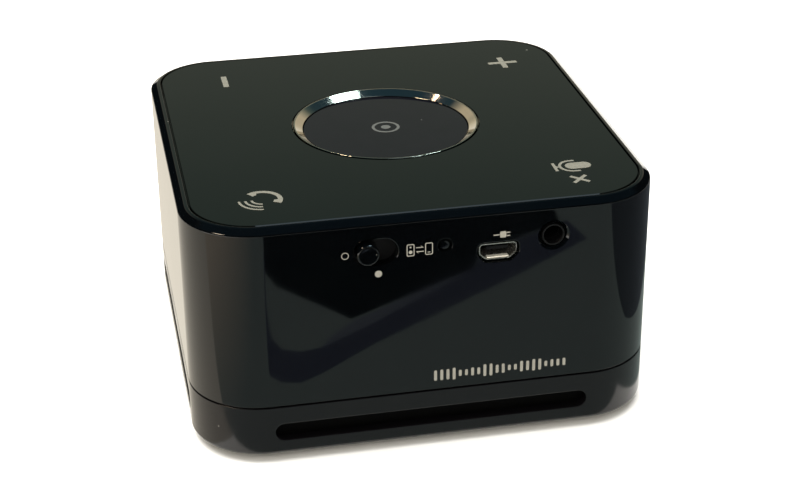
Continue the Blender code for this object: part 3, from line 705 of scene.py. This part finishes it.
def upper_housing():
    """Walls, eased chamfer, lip, rebate and ledge in one sweep, then the openings and bosses."""
    low = HOUSING_LOW.z
    outline = [
        (0, low),
        (0, TOP - RIM_TALL - LIP_FALL),
        (RIM_WIDE, TOP - LIP_FALL),
        (REBATE, TOP),
        (REBATE, REBATE_FLOOR),
        (LEDGE_REACH, REBATE_FLOOR),
        (LEDGE_REACH, REBATE_FLOOR - LEDGE_THICK),
        (WALL, REBATE_FLOOR - LEDGE_THICK),
        (WALL, low),
    ]
    radii = [0.15 * MM, 0.45 * MM, 0.3 * MM, 0.12 * MM, 0, 0, 0, 0, 0]
    housing = stack("housing_shell", case_outline, filleted(outline, radii), ring=True)
    depth = WALL + 1 * MM
    slot_x = KNOB_X + KNOB_TRAVEL / 2 + 0.05 * MM
    slot_long = KNOB_TRAVEL + 2 * SLOT_END_R + 0.1 * MM

    def slot(grow):
        """The knob's slot."""
        return stadium(slot_x, KNOB_Z, slot_long + 2 * grow, 2 * SLOT_END_R + 2 * grow)

    def button_hole(grow):
        """The pairing button's round hole."""
        return circle(BUTTON_X, BUTTON_Z, 1.4 * MM + grow, 48)

    def usb_hole(grow):
        """The charging socket's hole."""
        return usb_outline(0.45 * MM + grow)

    jack_levels = [(0, -depth), (0, -0.6 * MM), (0.5 * MM, -0.06 * MM), (0.57 * MM, 0), (0.57 * MM, MM)]

    def jack_hole(grow):
        """The audio socket's round hole."""
        return circle(JACK_X, JACK_Z, 2.5 * MM + grow, 72)

    tools = [flared(slot, depth), flared(button_hole, depth, 0.12 * MM), flared(usb_hole, depth, 0.16 * MM)]
    tools.append(stack("cutter", jack_hole, jack_levels, ON_PORT_FACE))
    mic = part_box("microphone_capsule")
    mic_z = (mic[0].z + mic[1].z) / 2
    rear = Matrix.Translation((0, HALF, mic_z)) @ Matrix.Rotation(math.radians(-90), 4, "X")
    pinhole = [(0.6 * MM, -depth), (0.6 * MM, -0.15 * MM), (0.72 * MM, 0), (0.72 * MM, MM)]
    pinhole += [(0, MM), (0, -depth)]
    tools.append(turned("cutter", pinhole, rear, 32))
    combined(housing, tools)
    bosses = []
    boss_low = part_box("speaker_baffle")[1].z + 0.3 * MM
    for at in at_corners(POST_AT, POST_AT, boss_low):
        bosses.append(boss(SCREW_HOLE_R, POST_R, 15 * MM, at))
    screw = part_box("board_screw_1")
    board_boss_tall = 12 * MM
    board_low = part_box("main_board")[0].z - board_boss_tall - 0.3 * MM
    across = (screw[0].x + screw[1].x) / 2
    along = (screw[0].y + screw[1].y) / 2
    for at in at_corners(across, along, board_low):
        bosses.append(boss(1.1 * MM, 3 * MM, board_boss_tall, at))
    combined(housing, bosses, "UNION")
    return fit(housing, "case", "piano_black", "upper_housing")


def base_shell():
    """The slotted tray: eased walls, floor, corner posts, screw wells and foot pockets."""
    low, high = BASE_LOW.z, BASE_HIGH.z
    floor_top = low + 2 * MM
    outline = [(0, low), (0, high), (WALL, high), (WALL, floor_top)]
    walls = filleted(outline, [0.7 * MM, 0.15 * MM, 0, 0])
    base = stack("base_tray", case_outline, walls)
    posts = []
    wells = []
    head_seat, head_r, foot_r = 5 * MM, 3.1 * MM, 4.8 * MM
    for at in at_corners(POST_AT, POST_AT, 0):
        post = [(0, high), (POST_R, high), (POST_R, floor_top - MM), (0, floor_top - MM)]
        posts.append(turned("post", post, at, 40))
        well = [(0, high + MM), (SCREW_HOLE_R, high + MM), (SCREW_HOLE_R, head_seat)]
        well += [(head_r, head_seat), (head_r, low + 0.15 * MM)]
        well += [(head_r + 0.2 * MM, low), (head_r + 0.2 * MM, 0), (0, 0)]
        wells.append(turned("cutter", well, at, 40))
    for at in at_corners(FOOT_AT, FOOT_AT, 0):
        pocket = [(0, low + MM), (foot_r, low + MM), (foot_r, low + 0.15 * MM)]
        pocket += [(foot_r + 0.15 * MM, low), (foot_r + 0.15 * MM, 0), (0, 0)]
        wells.append(turned("cutter", pocket, at, 48))
    combined(base, posts, "UNION")
    combined(base, wells)

    def slot(grow):
        """The sound slot."""
        return stadium(0, SLOT_Z, SLOT_LONG + 2 * grow, SLOT_TALL + 2 * grow)

    slots = []
    for quarter in range(4):
        turn = Matrix.Rotation(math.radians(90 * quarter), 4, "Z")
        levels = [(0, -WALL - MM), (0, -0.3 * MM), (0.1 * MM, -0.1 * MM), (0.3 * MM, 0), (0.3 * MM, MM)]
        slots.append(stack("cutter", slot, levels, turn @ ON_PORT_FACE))
    combined(base, slots)
    return fit(base, "case", "base_black", "base_shell")


def top_panel():
    """The acrylic plate with its edges eased and the hole for the ring."""
    low, high = PANEL_BOX[0].z, PANEL_BOX[1].z
    inset = HALF - PANEL_BOX[1].x
    ease = 0.16 * MM
    levels = [(inset, low), (inset, high - ease), (inset + ease, high)]
    panel = stack("touch_panel", case_outline, levels)
    hole_r = RING_R + 0.3 * MM
    hole = [(hole_r, low - MM), (hole_r, high - 0.1 * MM), (hole_r + 0.1 * MM, high)]
    hole += [(hole_r + 0.1 * MM, high + MM), (0, high + MM), (0, low - MM)]
    combined(panel, [turned("cutter", hole, None, 128)])
    return fit(panel, "case", "panel_black", "top_panel")


def ring():
    """The bright ring: thin rim, long slope down to the disc, flange under the panel."""
    top, low = RING_BOX[1].z, RING_BOX[0].z
    flange_r = RING_BOX[1].x
    outer_r = RING_R
    throat_r = DISC_BOX[1].x + 0.3 * MM
    profile = [
        (outer_r, top),
        (outer_r, PANEL_BOX[0].z - 0.3 * MM),
        (flange_r, PANEL_BOX[0].z - 0.3 * MM),
        (flange_r, low),
        (throat_r, low),
        (throat_r, DISC_BOX[1].z + 0.12 * MM),
        (outer_r - 0.28 * MM, top),
    ]
    ease = [0.1 * MM, 0, 0, 0, 0, 0.1 * MM, 0.08 * MM]
    made = turned("bright_ring", filleted(profile, ease), None, 160)
    fit(made, "case", "ring_chrome", "chrome_ring")


def disc():
    """The tinted disc, sunk in the ring."""
    low, high = DISC_BOX[0].z, DISC_BOX[1].z
    radius = DISC_BOX[1].x + 0.15 * MM
    ease = 0.1 * MM
    profile = [(0, high), (radius - ease, high), (radius, high - ease), (radius, low), (0, low)]
    fit(turned("tinted_disc", profile, None, 128), "case", "disc_black", "centre_disc")


# ---------- ports and switches


def power_slider():
    """The knob with a dished face and eased rim, and the plate behind it with its fork."""
    front = SLIDER_BOX[0].y
    proud = -HALF - front
    back = proud - (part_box("slide_switch_lever")[0].y - 0.3 * MM - front)
    skirt = back + 0.8 * MM
    dish = 0.12 * MM
    profile = [(0, proud - dish)]
    for step in range(1, 7):
        share = step / 6
        profile.append((KNOB_R * 0.8 * share, proud - dish * (1 - share**2)))
    profile += arc((KNOB_R - 0.42 * MM, proud - 0.42 * MM), 0.42 * MM, 80, 0, 6)
    profile += [(KNOB_R, skirt - 0.1 * MM), (0, skirt - 0.1 * MM)]
    at = ON_PORT_FACE @ Matrix.Translation((KNOB_X, KNOB_Z, 0))
    knob = turned("slider_knob", profile, at, 72)
    flange_low = (SLIDER_BOX[0].x, -HALF - skirt, SLIDER_BOX[0].z)
    flange_high = (SLIDER_BOX[1].x, -HALF - back, SLIDER_BOX[1].z)
    plate = block("slider_plate", flange_low, flange_high, 0.2 * MM)
    prongs = []
    for side in (-1, 1):
        x = KNOB_X + side * 1.5 * MM
        low = (x - 0.4 * MM, -HALF - back - 0.2 * MM, KNOB_Z - 2 * MM)
        prongs.append(block("prong", low, (x + 0.4 * MM, SLIDER_BOX[1].y, KNOB_Z)))
    combined(plate, prongs, "UNION")
    fit(knob, "power_knob", "piano_black", "power_slider")
    fit(plate, "power_knob", "inner_black", "power_slider")


def pairing_button():
    """The button's pin with its domed end, its collar and its short tail."""
    front = BUTTON_BOX[0].y
    proud = -HALF - front
    length = BUTTON_BOX[1].y - front
    dome = 0.12 * MM
    pin_r, collar_r, tail_r = 1.0 * MM, 2.2 * MM, 0.8 * MM
    collar_front, collar_back = proud - 2.55 * MM, proud - 3.15 * MM
    profile = [(0, proud), (0.5 * pin_r, proud - dome * 0.25), (0.85 * pin_r, proud - dome * 0.8)]
    profile += [(pin_r, proud - 0.3 * MM), (pin_r, collar_front), (collar_r, collar_front)]
    profile += [(collar_r, collar_back), (tail_r, collar_back), (tail_r, proud - length)]
    profile += [(0, proud - length)]
    at = ON_PORT_FACE @ Matrix.Translation((BUTTON_X, BUTTON_Z, 0))
    fit(turned("pair_pin", profile, at, 48), "pair_button", "piano_black", "pairing_button")


def usb_socket():
    """The folded shell with its flared lip, its spring, and five gold contacts under the tongue. The
    spring's pale tin is painted light for the lit floor of the mouth.
    """
    mouth, rear = USB_BOX[0].y, USB_BOX[1].y
    at = Matrix.Translation((0, mouth, 0)) @ Matrix.Rotation(math.radians(90), 4, "X")
    deep = mouth - rear
    skin = 0.19 * MM
    lip = 0.06 * MM
    levels = [(0, deep), (0, -0.6 * MM), (lip * 0.4, -0.25 * MM), (lip, -0.05 * MM), (lip * 0.7, 0)]
    levels += [(-skin + lip, -0.02 * MM), (-skin + lip * 0.5, -0.3 * MM), (-skin, -0.7 * MM), (-skin, deep)]
    shell = stack("socket_shell", usb_outline, levels, at, ring=True)
    fit(shell, "case", "plated_steel", "micro_usb_shell")
    # Painted light: a pale strip on the floor of the mouth, lighter than the shell's nickel, where light
    # falls in past the top lip.
    spring_low = (USB_X - 2.1 * MM, mouth + 0.1 * MM, USB_LOW + skin)
    spring_high = (USB_X + 2.1 * MM, mouth + 1.1 * MM, USB_LOW + 0.42 * MM)
    spring = block("socket_spring_painted_lit", spring_low, spring_high, 0.05 * MM)
    fit(spring, "case", "plated_steel", material=tin_painted_lit())
    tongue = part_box("micro_usb_tongue")
    top = USB_LOW + USB_TALL - skin - 0.65 * MM
    for number in range(5):
        x = USB_X + (number - 2) * 0.65 * MM
        low = (x - 0.14 * MM, tongue[0].y + 0.35 * MM, top - 0.71 * MM)
        high = (x + 0.14 * MM, rear - 1.1 * MM, top - 0.63 * MM)
        contact = block(f"socket_contact_{number + 1}", low, high, 0.03 * MM)
        fit(contact, "case", "plated_steel", material=GOLD)


def audio_socket():
    """The collar, with its mouth and its rim eased."""
    front, rear = JACK_BOX[0].y, JACK_BOX[1].y
    bore, outer = 1.85 * MM, 2.2 * MM
    deep = front - rear
    outline = [(outer, 0), (outer, deep), (bore, deep), (bore, 0)]
    profile = filleted(outline, [0.1 * MM, 0, 0, 0.12 * MM], 4)
    at = Matrix.Translation((JACK_X, front, JACK_Z)) @ Matrix.Rotation(math.radians(90), 4, "X")
    fit(turned("socket_collar", profile, at, 72), "case", "inner_black", "audio_jack_collar")


# ---------- print


def panel_print(name, outlines):
    """A print that shows through the smoked panel."""
    fit(printed(name, outlines, ON_PANEL), "case", "print_cream", material=PANEL_INK)


def port_print(name, outlines):
    """A print on the port face."""
    fit(printed(name, outlines, ON_PORT_FACE), "case", "print_cream")


def print_on_panel():
    """Touch signs on the panel. Their upright direction is +X."""
    minus = [filleted(rectangle(*MINUS_AT, 1.2 * MM, 6.4 * MM), 0.2 * MM)]
    panel_print("print_minus", minus)
    panel_print("print_plus", [cross(PLUS_AT, 3.25 * MM, 0.6 * MM, 0)])
    print_microphone()
    print_handset()


def cross(centre, arm, half, tilt):
    """A cross with square ends, turned by a tilt in degrees."""
    points = []
    for quarter in range(4):
        turn = Matrix.Rotation(math.radians(tilt - 90 * quarter), 2)
        for corner in ((arm, half), (arm, -half), (half, -half)):
            points.append(tuple(Vector(centre) + turn @ Vector(corner)))
    return points


def print_microphone():
    """A microphone capsule in its yoke on a foot, and the mute cross beside it."""
    y = MICROPHONE_AT[1]
    capsule = stadium(*MICROPHONE_AT, 5.2 * MM, 2.9 * MM)
    yoke_x = 31.3 * MM
    reach = 1.0 * MM
    outer, inner = 2.75 * MM, 2.2 * MM
    yoke = [(yoke_x + reach, y + outer)] + arc((yoke_x, y), outer, 90, 270, 24)
    yoke += [(yoke_x + reach, y - outer), (yoke_x + reach, y - inner)]
    yoke += arc((yoke_x, y), inner, 270, 90, 24) + [(yoke_x + reach, y + inner)]
    stem_end = yoke_x - outer - 0.02 * MM
    foot_x = stem_end - 0.75 * MM
    half_stem, half_foot, thick = 0.3 * MM, 1.9 * MM, 0.3 * MM
    edge = [(stem_end, half_stem), (foot_x + thick, half_stem)]
    edge += [(foot_x + thick, half_foot), (foot_x - thick, half_foot)]
    foot = [(x, y + up) for x, up in edge] + [(x, y - up) for x, up in reversed(edge)]
    panel_print("print_microphone", [capsule, yoke, foot])
    mute = cross(MUTE_CROSS_AT, 2.15 * MM, 0.38 * MM, 45)
    panel_print("print_mute_cross", [mute])


def print_handset():
    """A handset with its two pads, and three arcs of sound below it."""
    outer = 4.0 * MM
    pad, grip = 2.35 * MM, 3.1 * MM
    pad_span, slope = 20, 6
    start, end = 128, -32
    outline = arc(HANDSET_AT, outer, start, end, 40)
    outline += arc(HANDSET_AT, pad, end, end + pad_span, 8)
    outline += arc(HANDSET_AT, grip, end + pad_span + slope, start - pad_span - slope, 30)
    outline += arc(HANDSET_AT, pad, start - pad_span, start, 8)
    shapes = [outline]
    for radius in (1.9, 3.1, 4.3):
        shapes.append(band(HANDSET_AT, radius * MM, 0.48 * MM, 180, 268))
    panel_print("print_handset", shapes)


def print_on_disc():
    """A plain target for a tapped phone: a ring round a dot."""
    place = Matrix.Translation((0, 0, DISC_BOX[1].z))
    shapes = [circle(0, 0, 2.9 * MM), circle(0, 0, 2.3 * MM), circle(0, 0, 1.0 * MM)]
    fit(printed("print_target", shapes, place), "case", "print_cream", material=GREY_INK)


def arrow(x, y, length, way):
    """A thin half-headed arrow."""
    shaft, head = 0.17 * MM, 0.45 * MM
    tip = x + way * length / 2
    tail = x - way * length / 2
    return [
        (tail, y - way * shaft / 2),
        (tip, y - way * shaft / 2),
        (tip - way * head * 1.3, y + way * head),
        (tip - way * head * 0.8, y + way * shaft / 2),
        (tail, y + way * shaft / 2),
    ]


def print_on_port_face():
    """Off and on marks, the pairing pictogram and the power plug."""
    ring_at = (-16.7 * MM, KNOB_Z - 0.1 * MM)
    marks = [circle(*ring_at, 0.72 * MM, 48), circle(*ring_at, 0.57 * MM, 48)]
    marks.append(circle(KNOB_X + 2.03 * MM, KNOB_Z - 4.45 * MM, 0.69 * MM, 48))
    port_print("print_off_and_on", marks)
    z = KNOB_Z - 0.2 * MM
    speaker_x, phone_x = -4.35 * MM, -0.85 * MM
    width, height = 1.5 * MM, 2.5 * MM
    line = 0.18 * MM
    shapes = []
    for x in (speaker_x, phone_x):
        shapes.append(filleted(rectangle(x, z, width, height), 0.3 * MM))
        shapes.append(filleted(rectangle(x, z, width - 2 * line, height - 2 * line), 0.15 * MM))
    shapes.append(circle(speaker_x, z - 0.4 * MM, 0.36 * MM, 32))
    shapes.append(circle(speaker_x, z + 0.6 * MM, 0.18 * MM, 24))
    shapes.append(rectangle(phone_x, z - 0.7 * MM, 0.5 * MM, 0.16 * MM))
    shapes.append(arrow(-2.6 * MM, z + 0.42 * MM, 1.5 * MM, 1))
    shapes.append(arrow(-2.6 * MM, z - 0.42 * MM, 1.5 * MM, -1))
    port_print("print_pairing", shapes)
    x, z = 13.2 * MM, USB_LOW + USB_TALL + 1.95 * MM
    plug = [
        rectangle(x - 1.1 * MM, z, 1.2 * MM, 0.22 * MM),
        filleted(rectangle(x + 0.15 * MM, z, 1.2 * MM, 1.3 * MM), 0.25 * MM),
        rectangle(x + 1.15 * MM, z + 0.33 * MM, 0.7 * MM, 0.22 * MM),
        rectangle(x + 1.15 * MM, z - 0.33 * MM, 0.7 * MM, 0.22 * MM),
    ]
    port_print("print_power_plug", plug)


def print_level_bars():
    """A plain row of sound-level bars low on the port face."""
    start, end = -0.2 * MM, 26.7 * MM
    low, tall = 14.05 * MM, 2.95 * MM
    count = 22
    shapes = []
    for number in range(count):
        x = start + (end - start) * (number + 0.5) / count
        swell = 0.5 + 0.3 * math.sin(number * 0.9) + 0.2 * math.sin(number * 2.3 + 1)
        height = tall * (0.3 + 0.7 * swell)
        width = 0.58 * MM
        middle = low + tall / 2
        shapes.append(filleted(rectangle(x, middle, width, height), 0.22 * MM, 4))
    port_print("print_level_bars", shapes)


# ---------- carried-over CAD nodes


def finish_cad_nodes():
    """Every CAD node gets the finish of its slot, and round ones are shaded smooth."""
    for row in frame["record"]["subparts"]:
        node = NODES[row["node"]]
        node.data.materials.clear()
        node.data.materials.append(FINISHES[row["material_slot"]])
        shaded(node.data, 32)


# ---------- studio


def floor():
    """The pale paper that the case stands on."""
    bpy.ops.mesh.primitive_plane_add(size=6.0, location=(0, 0, 0))
    paper = bpy.context.object
    paper.name = "studio_floor"
    paper.data.materials.append(studio_floor())
    return paper


def glow(name, colour, left_colour):
    """A self-lit surface, for the cards that only the gloss shows. It may fade to the left."""
    made = bpy.data.materials.new(name)
    made.use_nodes = True
    tree = made.node_tree
    tree.nodes.remove(tree.nodes["Principled BSDF"])
    lit = add(tree, "Emission", {"Color": srgb(colour)})
    tree.links.new(lit.outputs[0], tree.nodes["Material Output"].inputs["Surface"])
    if left_colour:
        split = add(tree, "SeparateXYZ", links={0: add(tree, "TexCoord").outputs["Object"]})
        fade = {"From Min": -130 * MM, "From Max": -50 * MM}
        share = add(tree, "MapRange", fade, {"Value": split.outputs["X"]})
        tones = {"data_type": "RGBA", 6: srgb(left_colour), 7: srgb(colour)}
        mixed = add(tree, "Mix", tones, {0: share.outputs["Result"]})
        tree.links.new(mixed.outputs[2], lit.inputs["Color"])
    return made


def card(name, points, height, colour, left_colour=None):
    """A flat card over the floor that only mirror-like surfaces see. Points are in mm."""
    mesh = bpy.data.meshes.new(name)
    mesh.from_pydata([(x * MM, y * MM, height * MM) for x, y in points], [], [range(len(points))])
    mesh.materials.append(glow(name, colour, left_colour))
    made = in_scene(name, mesh)
    made.visible_camera = False
    made.visible_diffuse = False
    made.visible_shadow = False


def cards():
    """A grey card before the port face with darker ones on it, and a bright one on the left.

    The dark ones are what a plain slab with round corners, lying before the case, would mirror.
    """
    grey = [(-160, -49), (-160, -600), (700, -600), (700, 200), (50, 200), (50, -49)]
    card("grey_card", grey, 0.2, "9ba7a2", left_colour="f6e6cf")
    slab_top = [(-7, -98), (-13, -92), (-16, -87), (-2, -95), (12, -106), (26, -116), (26, -119)]
    card("slab_top", slab_top, 0.4, "858b97")
    outer = [(-24, -136), (-27, -112), (-28.5, -90), (-28.5, -79), (-26, -75), (-22, -74), (-17, -77)]
    outer += [(-4, -87), (10, -96), (36, -113), (56, -127), (54, -138)]
    inner = [(29, -124), (25, -117), (12, -107), (-3, -96), (-15, -88), (-20, -87), (-24, -89)]
    inner += [(-25.5, -94), (-25, -113), (-22, -136)]
    card("slab_side", outer + inner, 0.5, "5a5e70")
    right = [(88, 200), (80, -52), (110, -150), (700, -150), (700, 200)]
    card("right_card", right, 0.3, "565c61")
    black = [(-23, -126), (-21, -118), (-7, -99), (25, -117), (29, -125), (52, -137), (90, -600)]
    black += [(-60, -600), (-22, -150)]
    card("black_card", black, 0.6, "05070a")
    left = [(-46.5, -49), (-600, -49), (-600, 900), (-46.5, 900)]
    card("bright_card", left, 0.2, "fdf4e2")


def soft_light(name, way, distance, size, power, colour, misses=(), mirrored=True):
    """A soft light at a distance along a direction, turned to the case. Some pieces it misses."""
    data = bpy.data.lights.new(name, "AREA")
    data.shape = "RECTANGLE"
    data.size, data.size_y = size
    data.energy = power
    data.color = srgb(colour)[:3]
    made = in_scene(name, data)
    made.location = Vector(way).normalized() * distance
    made.rotation_mode = "QUATERNION"
    made.rotation_quaternion = (-made.location).to_track_quat("-Z", "Y")
    made.visible_glossy = mirrored
    if misses:
        missed = bpy.data.collections.new(name + "_misses")
        for piece in misses:
            missed.objects.link(piece)
        for row in missed.collection_objects:
            row.light_linking.link_state = "EXCLUDE"
        made.light_linking.receiver_collection = missed


def room():
    """The room in the gloss: pale at the horizon, dusky green above, blue-black overhead.

    Its side walls are tan and its ends are dark. The camera itself sees a plain pale backdrop.
    """
    world = bpy.data.worlds.new("room")
    bpy.context.scene.world = world
    world.use_nodes = True
    tree = world.node_tree
    split = add(tree, "SeparateXYZ", links={0: add(tree, "TexCoord").outputs["Generated"]})
    ramp = add(tree, "ValToRGB", links={0: split.outputs["Z"]})
    stops = ramp.color_ramp.elements
    tones = [(0.02, "f4efe2"), (0.13, "ebe4d0"), (0.24, "c4bca4"), (0.32, "868c7f")]
    tones += [(0.44, "66776f"), (0.62, "2b3f49"), (0.85, "243b49")]
    for number, (height, tone) in enumerate(tones):
        stop = stops[number] if number < 2 else stops.new(height)
        stop.position = height
        stop.color = srgb(tone)
    path = add(tree, "LightPath")
    glossy = {0: dark_ends(tree, split), 1: path.outputs["Is Glossy Ray"]}
    unlit = add(tree, "Math", {"operation": "MULTIPLY"}, glossy)
    layers = [
        (side_walls(tree, split), "c9c0ab"),
        (unlit.outputs[0], "10161a"),
        (path.outputs["Is Camera Ray"], "f6f4f0"),
    ]
    colour = ramp.outputs["Color"]
    for share, tone in layers:
        mixed = add(tree, "Mix", {"data_type": "RGBA", 7: srgb(tone)}, {0: share, 6: colour})
        colour = mixed.outputs[2]
    tree.links.new(colour, tree.nodes["Background"].inputs["Color"])


def most_of(tree, shares):
    """The largest of several shares."""
    most = shares[0]
    for share in shares[1:]:
        most = add(tree, "Math", {"operation": "MAXIMUM"}, {0: most, 1: share}).outputs[0]
    return most


def side_walls(tree, split):
    """How much of a tan side wall shows in a direction: far to a side, and not too high."""
    shares = []
    for clear, full in ((-0.16, -0.28), (0.38, 0.52)):
        far = add(tree, "MapRange", {"From Min": clear, "From Max": full}, {"Value": split.outputs["X"]})
        shares.append(far.outputs["Result"])
    slant = {"operation": "MULTIPLY_ADD", 1: 0.15}
    lean = add(tree, "Math", slant, {0: split.outputs["X"], 2: split.outputs["Z"]})
    low = add(tree, "MapRange", {"From Min": 0.64, "From Max": 0.48}, {"Value": lean.outputs[0]})
    both = {0: most_of(tree, shares), 1: low.outputs["Result"]}
    return add(tree, "Math", {"operation": "MULTIPLY"}, both).outputs[0]


def dark_ends(tree, split):
    """How much of a dark wall shows: before the port face, and far to the left and the right."""
    near = {"From Min": -0.2, "From Max": -0.45}
    shares = [add(tree, "MapRange", near, {"Value": split.outputs["Y"]}).outputs["Result"]]
    for slope, clear, full in ((0.56, -0.1, -0.17), (-0.3, 0.5, 0.56)):
        slant = {"operation": "MULTIPLY_ADD", 1: slope}
        lean = add(tree, "Math", slant, {0: split.outputs["Z"], 2: split.outputs["X"]})
        end = add(tree, "MapRange", {"From Min": clear, "From Max": full}, {"Value": lean.outputs[0]})
        shares.append(end.outputs["Result"])
    return most_of(tree, shares)


def floor_wash(paper):
    """Even, very soft light for the floor alone, so that it stays pale to the horizon."""
    data = bpy.data.lights.new("floor_wash", "SUN")
    data.energy = 2.4
    data.angle = math.radians(60)
    made = in_scene("floor_wash", data)
    made.visible_glossy = False
    lit = bpy.data.collections.new("floor_wash_lights")
    lit.objects.link(paper)
    made.light_linking.receiver_collection = lit


def studio(shells):
    """Soft light from overhead and before, and small lights that show in the trim and the edges."""
    paper = floor()
    cards()
    room()
    floor_wash(paper)
    soft_light("overhead", (-0.2, 0.25, 1.0), 1.2, (1.6, 1.4), 29, "fffcf6", mirrored=False)
    soft_light("front_fill", (-0.2, -1.0, 0.75), 1.2, (1.2, 0.8), 9, "fffbf2", mirrored=False)
    misses = (paper, *shells)
    housing, base, panel = shells
    soft_light("window", (0.385, 0.137, 0.913), 1.04, (0.22, 0.30), 4.5, "d4f4ff", misses)
    soft_light("spark", (-0.342, 0.368, 0.844), 1.25, (0.06, 0.045), 0.28, "f4dcc4", misses)
    soft_light("lamp", (-0.60, -0.15, 0.78), 1.2, (0.27, 0.18), 4.4, "ffe9cc", (paper, panel))
    edge_misses = (paper, housing, base)
    soft_light("edge_line", (0.184, -0.446, 0.876), 1.1, (0.5, 0.3), 0.8, "d8f0ff", edge_misses)


def camera():
    """Looks down on the port face from its left, with a long lens."""
    data = bpy.data.cameras.new("camera")
    data.sensor_width = 36
    data.lens = 80.34
    made = in_scene("camera", data)
    eye = Vector((-64.04, -336.70, 190.38)) * MM
    aim = Vector((2.78, 0, 20.01)) * MM
    tilt = math.radians(-0.55)
    made.location = eye
    made.rotation_mode = "QUATERNION"
    made.rotation_quaternion = (aim - eye).to_track_quat("-Z", "Y") @ Quaternion((0, 0, 1), tilt)
    bpy.context.scene.camera = made
    bpy.context.scene.view_settings.view_transform = "Standard"


# ---------- assembly

camera()
finish_cad_nodes()
studio((upper_housing(), base_shell(), top_panel()))
ring()
disc()
power_slider()
pairing_button()
usb_socket()
audio_socket()
print_on_panel()
print_on_disc()
print_on_port_face()
print_level_bars()
